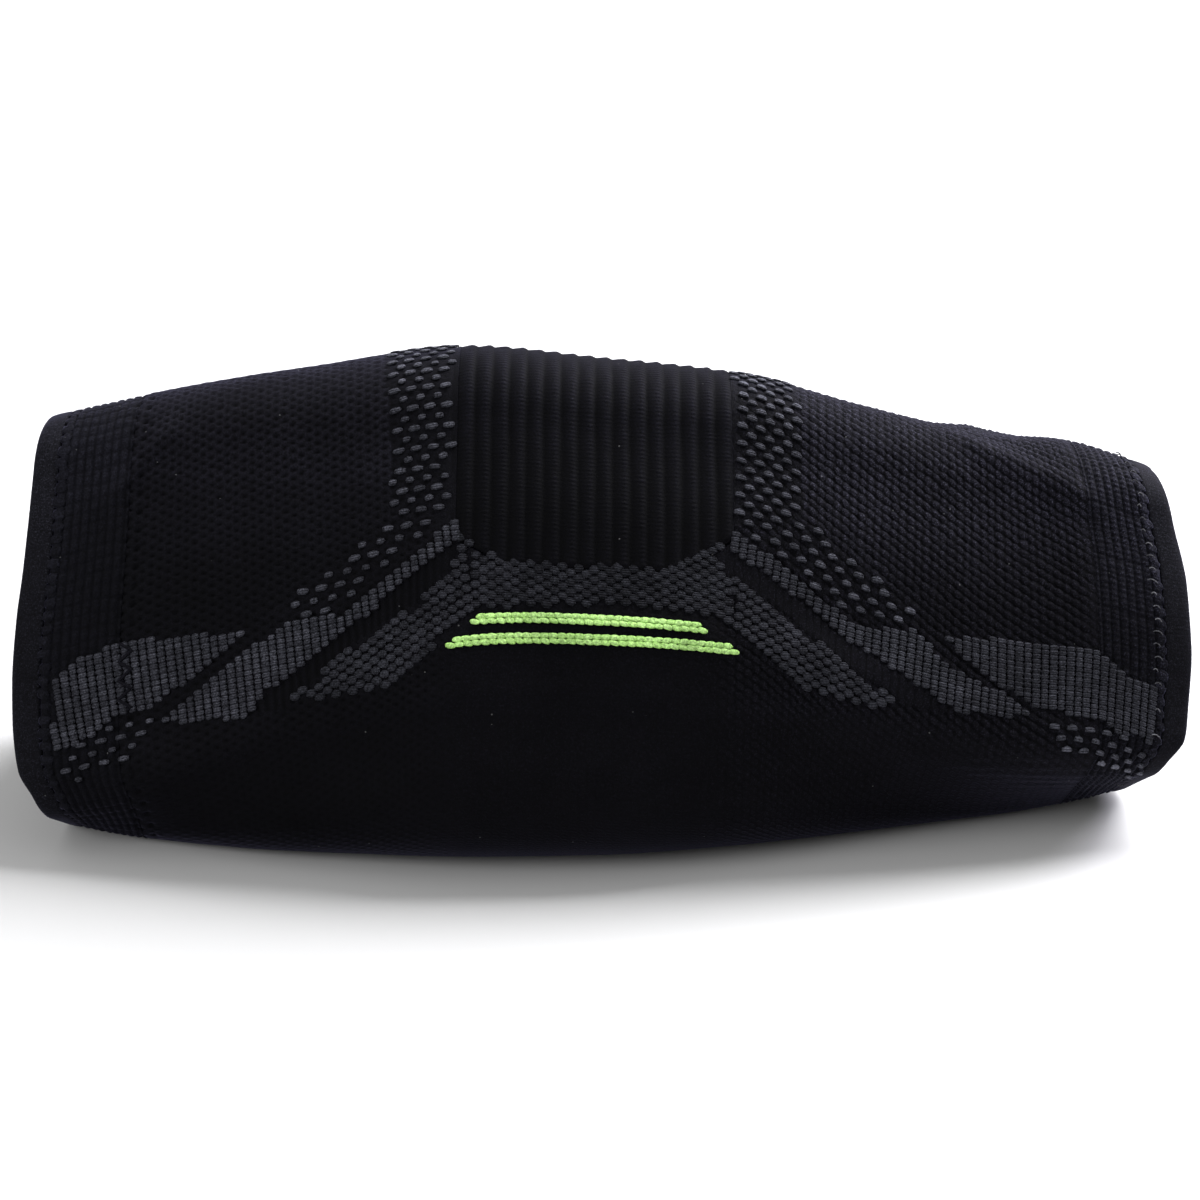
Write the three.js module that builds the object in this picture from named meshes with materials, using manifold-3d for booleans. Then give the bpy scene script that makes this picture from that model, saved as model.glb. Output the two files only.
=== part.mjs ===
// A knitted compression sleeve for the knee, lying on its back with the kneecap ridge up.
// Millimetres, +Z up. +X runs from the thigh opening to the calf opening. The near side of the leg is -Y.
// The origin is on the ground, under the middle of the sleeve.

import * as THREE from "three";
import { LoftGeometry } from "three/addons/geometries/LoftGeometry.js";
import { mergeVertices } from "three/addons/utils/BufferGeometryUtils.js";
import Module from "manifold-3d";

// Lengths along the sleeve
const HALF_LENGTH = 130;
const THIGH_HEM_LENGTH = 6;
const THIGH_CUFF_LENGTH = 18;
const CALF_HEM_LENGTH = 5;
const CALF_CUFF_LENGTH = 16;

// Walls and clearances
const KNIT_WALL = 2.5;
const HEM_WALL = 3.2;
const HEM_ROUNDING = 1.2;
const GAP = 0.3;
const SEAM_GAP = 0.6;

// Each section is a belt pulled round five circles: one at the ridge, two at the side folds, two at the base.
// The foldHalfWidth is to the outside of the fold. The baseHalfWidth is half of the flat part of the base.
const SECTION_COLUMNS = [
  "along", "ridgeHeight", "ridgeRadius", "foldHalfWidth", "foldHeight", "foldRadius", "baseHalfWidth",
  "baseRadius", "lift",
];
const SECTION_ROWS = [
  [-130, 88.6, 13, 43, 16, 10, 22, 9, 0],
  [-106, 93.8, 15, 45, 20, 12, 29, 10, 0],
  [-68, 100.1, 19, 48, 31, 21, 34, 15, 0],
  [-30, 105.5, 20, 50, 39, 28, 35, 22, 0],
  [0, 102.3, 20, 50, 40, 29, 34, 22, 0],
  [30, 98.6, 19, 48, 39, 27, 29, 21, 0],
  [58, 91.8, 18, 45, 35, 21, 23, 16, 0],
  [87, 85.2, 16, 42, 28, 14, 17, 12, 0],
  [108, 82, 15, 39, 23, 11, 14, 10, 1],
  [130, 74, 13, 35, 19, 9.5, 10, 8.5, 2.5],
];
const SIDE_CROWN = 1.5;

// How far each opening's rim draws in at the ridge and at the base, as it does on a soft tube laid down.
const RIM_SETBACK = {
  thigh: { ridge: 3.3, base: 0.2 },
  calf: { ridge: 5.1, base: 11 },
};
const SETBACK_RIDGE_SHARE = 0.28;
const SETBACK_BASE_FROM = 0.4;
const SETBACK_FADE_POWER = 4;

// Both ends curve a little away from the near side, from a short way out from the middle.
const SWAY = { thigh: 2, calf: 4 };
const SWAY_FROM = 40;

// Puts the middle of the sleeve's box over the origin.
const MIDDLE_SHIFT = 0.3;

// The kneecap panel: raised ribs round the leg, and how far the panel reaches down each side from the ridge.
const RIB_COUNT = 16;
const RIB_PITCH = 3.745;
const RIB_HEIGHT = 1;
const RIB_VALLEY = -0.2;
const RIB_CREST_FROM = 0.25;
const RIB_CREST_TO = 0.65;
const PANEL_START = -32.6;
const PANEL_END = PANEL_START + RIB_COUNT * RIB_PITCH;
const PANEL_STEPS = 7;
const PANEL_EDGE_ROWS = [
  { along: PANEL_START, reach: 48.8 },
  { along: -22, reach: 54.8 },
  { along: 13.5, reach: 52.6 },
  { along: PANEL_END, reach: 43.3 },
];
const WINDOW_MARGIN = 1.5;

// The two lime stripes below the panel, with their distance from the ridge at three places.
const STRIPE_WIDTH = 2.3;
const STRIPE_HEIGHT = 0.8;
const STRIPE_STEPS = 12;
const STRIPE_ROWS = [
  { name: "upper", start: -29.2, end: 20.9, reachAtStart: 67.3, reachAtMiddle: 65.3, reachAtEnd: 64.3 },
  { name: "lower", start: -34.3, end: 27.4, reachAtStart: 72.3, reachAtMiddle: 69.5, reachAtEnd: 67.9 },
];

// Steps of the walls
const THIGH_ZONE_STEPS = 9;
const KNEE_ZONE_STEPS = 9;
const CALF_ZONE_STEPS = 10;
const CUFF_STEPS = 2;
const STEPS_ON_BELT_PIECES = [3, 5, 4, 2, 5, 2];

const COLOURS = {
  knit: 0x121318,
  rib: 0x15161c,
  hem: 0x0f1014,
  lime: 0x9fdc5c,
};
const CLOTH_ROUGHNESS = 0.9;

// A smooth curve through a table's column that never overshoots its rows.
function smoothColumn(places, values) {
  const steps = places.slice(1).map((place, i) => place - places[i]);
  const slopes = steps.map((step, i) => (values[i + 1] - values[i]) / step);
  const tangents = values.map((value, i) => {
    if (i === 0) return slopes[0];
    if (i === slopes.length) return slopes[i - 1];
    if (slopes[i - 1] * slopes[i] <= 0) return 0;
    return 2 / (1 / slopes[i - 1] + 1 / slopes[i]);
  });
  return (place) => {
    const next = places.findIndex((start, i) => i > 0 && place <= start);
    const i = next < 0 ? steps.length - 1 : next - 1;
    const t = THREE.MathUtils.clamp((place - places[i]) / steps[i], 0, 1);
    const fromStart = (1 + 2 * t) * (1 - t) ** 2 * values[i] + t * (1 - t) ** 2 * steps[i] * tangents[i];
    const fromEnd = t ** 2 * (3 - 2 * t) * values[i + 1] - t ** 2 * (1 - t) * steps[i] * tangents[i + 1];
    return fromStart + fromEnd;
  };
}

const SECTION_PLACES = SECTION_ROWS.map((row) => row[0]);
const sectionCurves = SECTION_COLUMNS.map((name, k) => {
  return [name, smoothColumn(SECTION_PLACES, SECTION_ROWS.map((row) => row[k]))];
});

function sectionAt(along) {
  return Object.fromEntries(sectionCurves.map(([name, curve]) => [name, curve(along)]));
}

// The direction square to the outer tangent of two circles, as an angle from outward towards +Z.
function tangentAngle(upper, lower) {
  const dy = lower.y - upper.y;
  const dz = lower.z - upper.z;
  const lean = Math.acos((upper.radius - lower.radius) / Math.hypot(dy, dz));
  return Math.atan2(dz, dy) + lean;
}

function pointOnCircle(circle, angle) {
  return new THREE.Vector2(
    circle.y + circle.radius * Math.cos(angle),
    circle.z + circle.radius * Math.sin(angle),
  );
}

// Half a section, from the ridge to the middle of the base, moved out from the knit's face by the offset.
function beltAt(along, offset) {
  const section = sectionAt(along);
  const circles = [
    { y: 0, z: section.ridgeHeight - section.ridgeRadius, radius: section.ridgeRadius },
    { y: section.foldHalfWidth - section.foldRadius, z: section.foldHeight, radius: section.foldRadius },
    { y: section.baseHalfWidth, z: section.baseRadius, radius: section.baseRadius },
  ].map(({ y, z, radius }) => ({ y, z: z + section.lift, radius: radius + offset }));
  const [ridge, fold, base] = circles;
  const angles = [Math.PI / 2, tangentAngle(ridge, fold), tangentAngle(fold, base), -Math.PI / 2];
  const middle = new THREE.Vector2(0, section.lift - offset);

  const pieces = circles.flatMap((circle, i) => {
    const next = circles[i + 1];
    const from = pointOnCircle(circle, angles[i + 1]);
    const to = next ? pointOnCircle(next, angles[i + 1]) : middle;
    const outward = new THREE.Vector2(Math.cos(angles[i + 1]), Math.sin(angles[i + 1]));
    const crown = i === 0 ? SIDE_CROWN : 0;
    return [
      {
        length: circle.radius * (angles[i] - angles[i + 1]),
        at: (t) => pointOnCircle(circle, THREE.MathUtils.lerp(angles[i], angles[i + 1], t)),
      },
      {
        length: from.distanceTo(to),
        at: (t) => from.clone().lerp(to, t).addScaledVector(outward, crown * Math.sin(Math.PI * t)),
      },
    ];
  });
  return { pieces, length: pieces.reduce((sum, piece) => sum + piece.length, 0) };
}

// A position on a belt is the number of the piece plus the share of that piece.
function distanceAtPosition(belt, position) {
  const piece = Math.min(Math.floor(position), belt.pieces.length - 1);
  const before = belt.pieces.slice(0, piece).reduce((sum, { length }) => sum + length, 0);
  return before + (position - piece) * belt.pieces[piece].length;
}

function positionAtDistance(belt, distance) {
  let left = distance;
  for (const [i, piece] of belt.pieces.entries()) {
    if (left <= piece.length) return i + left / piece.length;
    left -= piece.length;
  }
  return belt.pieces.length;
}

// A smooth step from 0 to 1.
function ease(t) {
  return 0.5 - 0.5 * Math.cos(Math.PI * THREE.MathUtils.clamp(t, 0, 1));
}

function rimSetback(along, share) {
  const { ridge, base } = along < 0 ? RIM_SETBACK.thigh : RIM_SETBACK.calf;
  const nearRidge = ease(1 - share / SETBACK_RIDGE_SHARE);
  const nearBase = ease((share - SETBACK_BASE_FROM) / (1 - SETBACK_BASE_FROM));
  const fade = (Math.abs(along) / HALF_LENGTH) ** SETBACK_FADE_POWER;
  return (ridge * nearRidge + base * nearBase) * fade;
}

// The sideways shift of a section's middle, and the slope that turns the section square to the leg.
function swayAt(along) {
  const most = along < 0 ? SWAY.thigh : SWAY.calf;
  const reach = HALF_LENGTH - SWAY_FROM;
  const t = Math.max(0, Math.abs(along) - SWAY_FROM) / reach;
  return { shift: most * t ** 2, slope: (2 * most * t) / reach };
}

// A point of the sleeve. The side is -1 on the near side and 1 on the far side.
function surfacePoint(along, position, side, offset) {
  const face = beltAt(along, 0);
  const share = distanceAtPosition(face, position) / face.length;
  const belt = beltAt(along, offset);
  const piece = Math.min(Math.floor(position), belt.pieces.length - 1);
  const point = belt.pieces[piece].at(position - piece);
  const across = side * point.x;
  const { shift, slope } = swayAt(along);
  const drawnIn = rimSetback(along, share) + slope * (across + sectionAt(along).foldHalfWidth);
  return new THREE.Vector3(along - Math.sign(along) * drawnIn + MIDDLE_SHIFT, across + shift, point.y);
}

// The same, by the distance round from the ridge: negative on the near side, positive on the far side.
function pointAround(along, around, offset) {
  const position = positionAtDistance(beltAt(along, 0), Math.abs(around));
  return surfacePoint(along, position, Math.sign(around), offset);
}

// The positions of one whole way round: down the near side, then up the far side and back to the ridge.
function loopPositions() {
  const half = STEPS_ON_BELT_PIECES.flatMap((count, piece) => {
    return Array.from({ length: count }, (unused, i) => piece + i / count);
  });
  const end = STEPS_ON_BELT_PIECES.length;
  const near = [...half, end].map((position) => ({ position, side: -1 }));
  const far = half.toReversed().map((position) => ({ position, side: 1 }));
  return [...near, ...far];
}

// Welds a loft into one closed surface of positions only.
function welded(loft) {
  const geometry = new THREE.BufferGeometry();
  geometry.setAttribute("position", loft.attributes.position);
  geometry.setIndex(loft.index);
  return mergeVertices(geometry);
}

// A closed wall round the leg: its profile is a ring of places along the sleeve with their offsets.
function wallAroundLeg(profile) {
  const rings = loopPositions().map(({ position, side }) => {
    return profile.map(({ along, offset }) => surfacePoint(along, position, side, offset));
  });
  return welded(new LoftGeometry(rings));
}

function stationsBetween(start, end, steps) {
  return Array.from({ length: steps + 1 }, (unused, i) => THREE.MathUtils.lerp(start, end, i / steps));
}

function plainWallProfile(start, end, steps) {
  const stations = stationsBetween(start, end, steps);
  const inner = stations.map((along) => ({ along, offset: -KNIT_WALL }));
  const outer = stations.toReversed().map((along) => ({ along, offset: 0 }));
  return [...inner, ...outer];
}

// A hem runs from its seam to the free edge, which is rounded. The thigh hem runs towards -X.
function hemProfile(seam, edge) {
  const shoulder = edge - Math.sign(edge) * HEM_ROUNDING;
  const ring = [
    { along: seam, offset: -HEM_WALL },
    { along: shoulder, offset: -HEM_WALL },
    { along: edge, offset: -HEM_WALL + HEM_ROUNDING },
    { along: edge, offset: -HEM_ROUNDING },
    { along: shoulder, offset: 0 },
    { along: seam, offset: 0 },
  ];
  return edge > 0 ? ring : ring.toReversed();
}

// A patch on the sleeve: at each station, how far round it starts and ends, and its outer and inner offset.
function patch(stations, steps) {
  const rings = stations.map(({ along, from, to, outer, inner }) => {
    const places = stationsBetween(from, to, steps);
    const lower = places.map((around) => pointAround(along, around, inner));
    const upper = places.toReversed().map((around) => pointAround(along, around, outer));
    return [...lower, ...upper];
  });
  return welded(new LoftGeometry(rings, { capStart: true, capEnd: true }));
}

function panelReach(along) {
  const rows = PANEL_EDGE_ROWS;
  const i = Math.max(1, rows.findIndex((row, k) => k > 0 && along <= row.along + GAP));
  const t = (along - rows[i - 1].along) / (rows[i].along - rows[i - 1].along);
  return THREE.MathUtils.lerp(rows[i - 1].reach, rows[i].reach, t);
}

function ribStations() {
  const stations = [];
  for (let rib = 0; rib < RIB_COUNT; rib += 1) {
    const start = PANEL_START + rib * RIB_PITCH;
    stations.push({ along: start, outer: RIB_VALLEY });
    stations.push({ along: start + RIB_CREST_FROM * RIB_PITCH, outer: RIB_HEIGHT });
    stations.push({ along: start + RIB_CREST_TO * RIB_PITCH, outer: RIB_HEIGHT });
  }
  stations.push({ along: PANEL_END, outer: RIB_VALLEY });
  return stations;
}

function ribPanel() {
  const stations = ribStations().map(({ along, outer }) => {
    const reach = panelReach(along);
    return { along, from: -reach, to: reach, outer, inner: -KNIT_WALL };
  });
  return patch(stations, 2 * PANEL_STEPS);
}

// The window of the panel in the knee zone, a gap wider all round and deeper than the wall.
function panelWindow() {
  const ends = [PANEL_START - GAP, PANEL_END + GAP];
  const places = [...ribStations().map(({ along }) => along), ...ends].sort((a, b) => a - b);
  const stations = places.map((along) => {
    const reach = panelReach(along) + GAP;
    return { along, from: -reach, to: reach, outer: WINDOW_MARGIN, inner: -KNIT_WALL - WINDOW_MARGIN };
  });
  return patch(stations, 2 * PANEL_STEPS);
}

function stripe({ start, end, reachAtStart, reachAtMiddle, reachAtEnd }, side) {
  const middle = (start + end) / 2;
  const reachAt = smoothColumn([start, middle, end], [reachAtStart, reachAtMiddle, reachAtEnd]);
  const stations = stationsBetween(start, end, STRIPE_STEPS).map((along) => {
    const edges = [-STRIPE_WIDTH / 2, STRIPE_WIDTH / 2].map((width) => side * reachAt(along) + width);
    return { along, from: edges[0], to: edges[1], outer: GAP + STRIPE_HEIGHT, inner: GAP };
  });
  return patch(stations, 1);
}

// Closed geometry to a solid for cutting, and back.
const wasm = await Module();
wasm.setup();

function toSolid(geometry) {
  const vertProperties = new Float32Array(geometry.attributes.position.array);
  const triVerts = new Uint32Array(geometry.index.array);
  return new wasm.Manifold(new wasm.Mesh({ numProp: 3, vertProperties, triVerts }));
}

function toGeometry(solid) {
  const { vertProperties, triVerts } = solid.getMesh();
  const geometry = new THREE.BufferGeometry();
  geometry.setAttribute("position", new THREE.BufferAttribute(vertProperties, 3));
  geometry.setIndex(new THREE.BufferAttribute(triVerts, 1));
  return geometry;
}

const sleeve = new THREE.Group();

function addPiece(name, geometry, colour) {
  const cloth = new THREE.MeshStandardMaterial({ color: colour, roughness: CLOTH_ROUGHNESS, metalness: 0 });
  const mesh = new THREE.Mesh(geometry, cloth);
  mesh.name = name;
  sleeve.add(mesh);
}

// The pieces, from the thigh opening to the calf opening
const thighSeam = -HALF_LENGTH + THIGH_HEM_LENGTH;
const thighJoin = thighSeam + THIGH_CUFF_LENGTH;
const calfSeam = HALF_LENGTH - CALF_HEM_LENGTH;
const calfJoin = calfSeam - CALF_CUFF_LENGTH;

function plainWall(start, end, steps) {
  return wallAroundLeg(plainWallProfile(start, end, steps));
}

addPiece("thigh_hem", wallAroundLeg(hemProfile(thighSeam, -HALF_LENGTH)), COLOURS.hem);
addPiece("thigh_cuff", plainWall(thighSeam + SEAM_GAP, thighJoin, CUFF_STEPS), COLOURS.rib);
const thighZone = plainWall(thighJoin + SEAM_GAP, PANEL_START - GAP, THIGH_ZONE_STEPS);
addPiece("thigh_knit", thighZone, COLOURS.knit);
const kneeWall = toSolid(plainWall(PANEL_START, PANEL_END, KNEE_ZONE_STEPS));
addPiece("knee_knit", toGeometry(kneeWall.subtract(toSolid(panelWindow()))), COLOURS.knit);
addPiece("kneecap_rib_panel", ribPanel(), COLOURS.rib);
const calfZone = plainWall(PANEL_END + GAP, calfJoin - SEAM_GAP, CALF_ZONE_STEPS);
addPiece("calf_knit", calfZone, COLOURS.knit);
addPiece("calf_cuff", plainWall(calfJoin, calfSeam - SEAM_GAP, CUFF_STEPS), COLOURS.rib);
addPiece("calf_hem", wallAroundLeg(hemProfile(calfSeam, HALF_LENGTH)), COLOURS.hem);
for (const row of STRIPE_ROWS) {
  addPiece(`stripe_${row.name}_near`, stripe(row, -1), COLOURS.lime);
  addPiece(`stripe_${row.name}_far`, stripe(row, 1), COLOURS.lime);
}

export default sleeve;
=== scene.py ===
import bpy
import numpy as np
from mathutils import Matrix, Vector


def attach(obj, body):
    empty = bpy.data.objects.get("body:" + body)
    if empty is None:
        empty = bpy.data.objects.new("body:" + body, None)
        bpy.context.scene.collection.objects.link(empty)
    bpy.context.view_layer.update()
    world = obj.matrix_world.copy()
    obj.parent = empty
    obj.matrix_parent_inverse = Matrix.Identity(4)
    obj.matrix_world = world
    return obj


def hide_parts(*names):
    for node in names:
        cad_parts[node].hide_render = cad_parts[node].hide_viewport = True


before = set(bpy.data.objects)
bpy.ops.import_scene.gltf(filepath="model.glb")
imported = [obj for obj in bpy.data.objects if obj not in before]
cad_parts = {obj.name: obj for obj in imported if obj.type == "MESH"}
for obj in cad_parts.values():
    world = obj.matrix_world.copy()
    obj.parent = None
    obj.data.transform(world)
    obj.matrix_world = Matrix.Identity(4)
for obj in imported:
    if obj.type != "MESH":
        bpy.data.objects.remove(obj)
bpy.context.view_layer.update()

# A knitted knee sleeve that lies on its back. Lengths are in mm until a mesh is made.
# A place on it is (along, around, height): mm along the leg from the middle, with the thigh end negative,
# mm round the leg from the kneecap ridge, with the near side negative, and mm out from the face of the knit.

MM = 0.001
SEED = 11
rng = np.random.default_rng(SEED)
scene = bpy.context.scene


def add_object(name, data):
    added = bpy.data.objects.new(name, data)
    scene.collection.objects.link(added)
    return added


# Camera at the photograph's viewing angle
CAMERA_TARGET = Vector((-1.3, 0, 46)) * MM
CAMERA_DISTANCE = 640
CAMERA_ELEVATION = np.radians(20)
SEEN_WIDTH = 275.2  # mm across the picture at the target

camera = add_object("camera", bpy.data.cameras.new("camera"))
camera.data.lens = camera.data.sensor_width * CAMERA_DISTANCE / SEEN_WIDTH
back = Vector((0, -np.cos(CAMERA_ELEVATION), np.sin(CAMERA_ELEVATION)))
camera.location = CAMERA_TARGET + back * CAMERA_DISTANCE * MM
camera.rotation_euler = (-back).to_track_quat("-Z", "Y").to_euler()
scene.camera = camera

# The sleeve's form, as in the solids, but for the rims, which follow the photograph more closely
HALF_LENGTH = 130
THIGH_SEAM, THIGH_JOIN, CALF_JOIN, CALF_SEAM = -124, -106, 109, 125
SEAM_GAP = 0.6
KNIT_WALL, HEM_WALL = 2.5, 3.2
# along, ridge height, ridge radius, fold half width, fold height, fold radius, base half width, base radius,
# lift
SECTIONS = np.array([
    (-130, 88.6, 13, 43, 16, 10, 22, 9, 0),
    (-106, 93.8, 15, 45, 20, 12, 29, 10, 0),
    (-68, 100.1, 19, 48, 31, 21, 34, 15, 0),
    (-30, 105.5, 20, 50, 39, 28, 35, 22, 0),
    (0, 102.3, 20, 50, 40, 29, 34, 22, 0),
    (30, 98.6, 19, 48, 39, 27, 29, 21, 0),
    (58, 91.8, 18, 45, 35, 21, 23, 16, 0),
    (87, 85.2, 16, 42, 28, 14, 17, 12, 0),
    (108, 82, 15, 39, 23, 11, 14, 10, 1),
    (130, 74, 13, 35, 19, 9.5, 10, 8.5, 2.5),
], float)
SIDE_CROWN = 1.5
# How far the rims stand back, as (share of the way from the ridge to the base, mm)
RIM_SETBACK = {
    "thigh": np.array([
        (0, 1.9), (0.14, 0.9), (0.28, 0), (0.36, -0.9), (0.45, -1.4), (0.52, -1.1), (0.56, -0.5), (0.6, 0.6),
        (0.65, 3.7), (0.72, 5.5), (1, 6),
    ]),
    "calf": np.array([
        (0, 3.7), (0.14, 1.85), (0.28, 0), (0.4, 0), (0.52, 1.2), (0.59, 2.4), (0.645, 5.6), (0.7, 7),
        (0.8, 7.6), (1, 8),
    ]),
}
RIM_FADE = 4  # the power by which the setback grows towards the ends
SWAY = {"thigh": 2, "calf": 4}
SWAY_FROM = 40
MIDDLE_SHIFT = 0.3

# The kneecap panel
RIB_COUNT, RIB_PITCH = 16, 3.745
PURL_PITCH = 0.96
PANEL_START = -32.6
PANEL_END = PANEL_START + RIB_COUNT * RIB_PITCH
PANEL_REACH = np.array([(PANEL_START, 48.8), (-22, 54.8), (13.5, 52.6), (PANEL_END, 43.3)])

# The knit: columns of lumps run round the leg, and each column stands half a lump off the next
LEG_COLUMN, KNEE_COLUMN = 1.85, RIB_PITCH / 2
LUMP_PITCH = 2.07
LUMP_RISE = 0.62
# Half a lump, and half a pit, in columns and in pitches
LUMP_HALF, PIT_HALF = (0.52, 0.46), (0.36, 0.22)
# How far a lump slants down towards the calf across its column, in pitches, at places along the leg
SLANT = np.array([(-50, -0.12), (-30, 0.15), (20, 0.15), (42, 0.42)])
# With a slant under the first value the knit is a soft net with pits, over the second it is lumps in slanted
# rows
NET_SLANTS = (0.0, 0.3)
# How much the columns lean towards the knee for each mm down from the ridge
THIGH_LEAN, CALF_LEAN = 0.06, 0.09

# A soft crease low on each side, as (along, distance from the ridge)
CREASE = np.array([(-130, 89), (-100, 88.5), (-77, 86), (-44, 84), (-22, 82.5), (0, 80), (18, 79.5), (56, 75),
                   (85, 73.5), (107, 74), (130, 79)])
CREASE_RISE, CREASE_HALF = 0.55, 3.2
SWELL_RISE, FINE_RISE = 0.35, 0.12
SLACK_END = 118  # the swells and the crease fade out by this place
# Soft folds near the ends: along and distance from the ridge where one starts, the same where it ends, its
# height, and half its width
FOLDS = [
    (-97, 13, -111, 27, 1.1, 2.6),
    (80, 5, 112, 18.5, 1.5, 3.4),
]
# A zigzag seam at the thigh cuff's join: middle, half width and pitch, and its pits' radius, depth and
# painted shade
JOIN_SEAM, JOIN_SWING, JOIN_PITCH = -104.7, 1.4, 4.1
JOIN_PIT, JOIN_DEPTH, JOIN_PAINTED_SHADE = 0.6, 0.6, 0.85


def curve_at(places, values, at):
    """A smooth curve through a table's column that never overshoots its rows."""
    slopes = np.diff(values) / np.diff(places)
    inner = np.zeros(len(slopes) - 1)
    same = slopes[:-1] * slopes[1:] > 0
    inner[same] = 2 / (1 / slopes[:-1][same] + 1 / slopes[1:][same])
    tangents = np.concatenate([slopes[:1], inner, slopes[-1:]])
    i = np.clip(np.searchsorted(places, at) - 1, 0, len(slopes) - 1)
    step = places[i + 1] - places[i]
    t = np.clip((at - places[i]) / step, 0, 1)
    from_start = (1 + 2 * t) * (1 - t) ** 2 * values[i] + t * (1 - t) ** 2 * step * tangents[i]
    from_end = t**2 * (3 - 2 * t) * values[i + 1] - t**2 * (1 - t) * step * tangents[i + 1]
    return from_start + from_end


def ease(t):
    return 0.5 - 0.5 * np.cos(np.pi * np.clip(t, 0, 1))


def wander(along, around, wave, seed):
    """A smooth random field, mostly from -1 to 1, of waves about so many mm long."""
    pick = np.random.default_rng(seed)
    total = 0
    for _ in range(6):
        turn, start = pick.uniform(0, np.pi), pick.uniform(0, 2 * np.pi)
        step = 2 * np.pi / (wave * pick.uniform(0.7, 1.4))
        total = total + np.sin(step * (along * np.cos(turn) + around * np.sin(turn)) + start)
    return total / 3


def section_at(along):
    return [curve_at(SECTIONS[:, 0], SECTIONS[:, k], along) for k in range(1, SECTIONS.shape[1])]


def tangent_angle(upper, lower):
    dy, dz = lower[0] - upper[0], lower[1] - upper[1]
    return np.arctan2(dz, dy) + np.arccos((upper[2] - lower[2]) / np.hypot(dy, dz))


def belt_at(along, distance):
    """Half a section: how far out and up a point is at a distance from the ridge, its outward angle, and the
    half section's length."""
    sizes = section_at(along)
    ridge_height, ridge_radius, fold_half, fold_height, fold_radius, base_half, base_radius, lift = sizes
    circles = [
        (0 * along, ridge_height - ridge_radius + lift, ridge_radius),
        (fold_half - fold_radius, fold_height + lift, fold_radius),
        (base_half, base_radius + lift, base_radius),
    ]
    angles = [
        np.full(along.shape, np.pi / 2),
        tangent_angle(circles[0], circles[1]),
        tangent_angle(circles[1], circles[2]),
        np.full(along.shape, -np.pi / 2),
    ]
    left = distance.astype(float)
    out, up, facing, length = (np.zeros(along.shape) for _ in range(4))
    for i, (y, z, radius) in enumerate(circles):
        arc = radius * (angles[i] - angles[i + 1])
        turn = angles[i] - np.clip(left, 0, arc) / radius
        here = left >= 0
        out = np.where(here, y + radius * np.cos(turn), out)
        up = np.where(here, z + radius * np.sin(turn), up)
        facing = np.where(here, turn, facing)
        left = left - arc
        angle = angles[i + 1]
        start = y + radius * np.cos(angle), z + radius * np.sin(angle)
        if i + 1 < len(circles):
            y2, z2, radius2 = circles[i + 1]
            end = y2 + radius2 * np.cos(angle), z2 + radius2 * np.sin(angle)
        else:
            end = 0 * along, lift
        line = np.hypot(end[0] - start[0], end[1] - start[1])
        t = np.clip(left / line, 0, 1)
        crown = (SIDE_CROWN if i == 0 else 0) * np.sin(np.pi * t) ** 2
        here = left > 0
        out = np.where(here, start[0] + (end[0] - start[0]) * t + crown * np.cos(angle), out)
        up = np.where(here, start[1] + (end[1] - start[1]) * t + crown * np.sin(angle), up)
        facing = np.where(here, angle, facing)
        left = left - line
        length = length + arc + line
    return out, up, facing, length


def half_round(along):
    along = np.asarray(along, float)
    return belt_at(along, np.zeros(along.shape))[3]


def by_end(along, values):
    return np.where(along < 0, values["thigh"], values["calf"])


def surface(along, around, height=0.0):
    """Points of the sleeve, in mm."""
    along, around, height = np.broadcast_arrays(*(np.asarray(v, float) for v in (along, around, height)))
    out, up, facing, length = belt_at(along, np.abs(around))
    share = np.abs(around) / length
    height = height + slack(along, around, share)
    out = out + height * np.cos(facing)
    up = up + height * np.sin(facing)
    fade = (np.abs(along) / HALF_LENGTH) ** RIM_FADE
    setback = fade * by_end(along, {end: curve_at(*table.T, share) for end, table in RIM_SETBACK.items()})
    across = np.sign(around) * out
    reach = HALF_LENGTH - SWAY_FROM
    t = np.maximum(0, np.abs(along) - SWAY_FROM) / reach
    shift = by_end(along, SWAY) * t**2
    slope = 2 * by_end(along, SWAY) * t / reach
    x = along - np.sign(along) * (setback + slope * (across + section_at(along)[2])) + MIDDLE_SHIFT
    return np.stack([x, across + shift, np.maximum(up, 0)], -1)


def below_crease(along, around):
    return np.abs(around) - np.interp(along, *CREASE.T)


def slack(along, around, share):
    """How the soft cloth waves: slow swells, a low crease on each side, fine folds under the calf, and the
    soft folds near the ends."""
    swell = SWELL_RISE * np.sin(along / 17 + np.sin(around / 31)) * np.sin(around / 23 + 0.7)
    swell = swell * ease((0.8 - share) / 0.3) * ease((SLACK_END - np.abs(along)) / 20)
    low = below_crease(along, around)
    crease = CREASE_RISE * np.exp(-((low / CREASE_HALF) ** 2)) * ease((SLACK_END - np.abs(along)) / 25)
    wave = np.sin((np.abs(around) + 0.16 * along) * 2.0 + 1.6 * wander(along, around, 26, 11))
    fine = FINE_RISE * wave * (0.6 + 0.6 * wander(along, around, 17, 10))
    fine = fine * ease(low / 4) * ease((18 - low) / 5)
    total = swell + crease + fine * ease((along - 70) / 25) * ease((122 - along) / 8)
    for start, high, end, deep, rise, half in FOLDS:
        run = np.hypot(end - start, deep - high)
        t = ((along - start) * (end - start) + (np.abs(around) - high) * (deep - high)) / run**2
        off = ((along - start) * (deep - high) - (np.abs(around) - high) * (end - start)) / run
        total = total + rise * np.exp(-((off / half) ** 2)) * ease((t + 0.2) / 0.4) * ease((1.2 - t) / 0.4)
    return total


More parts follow.
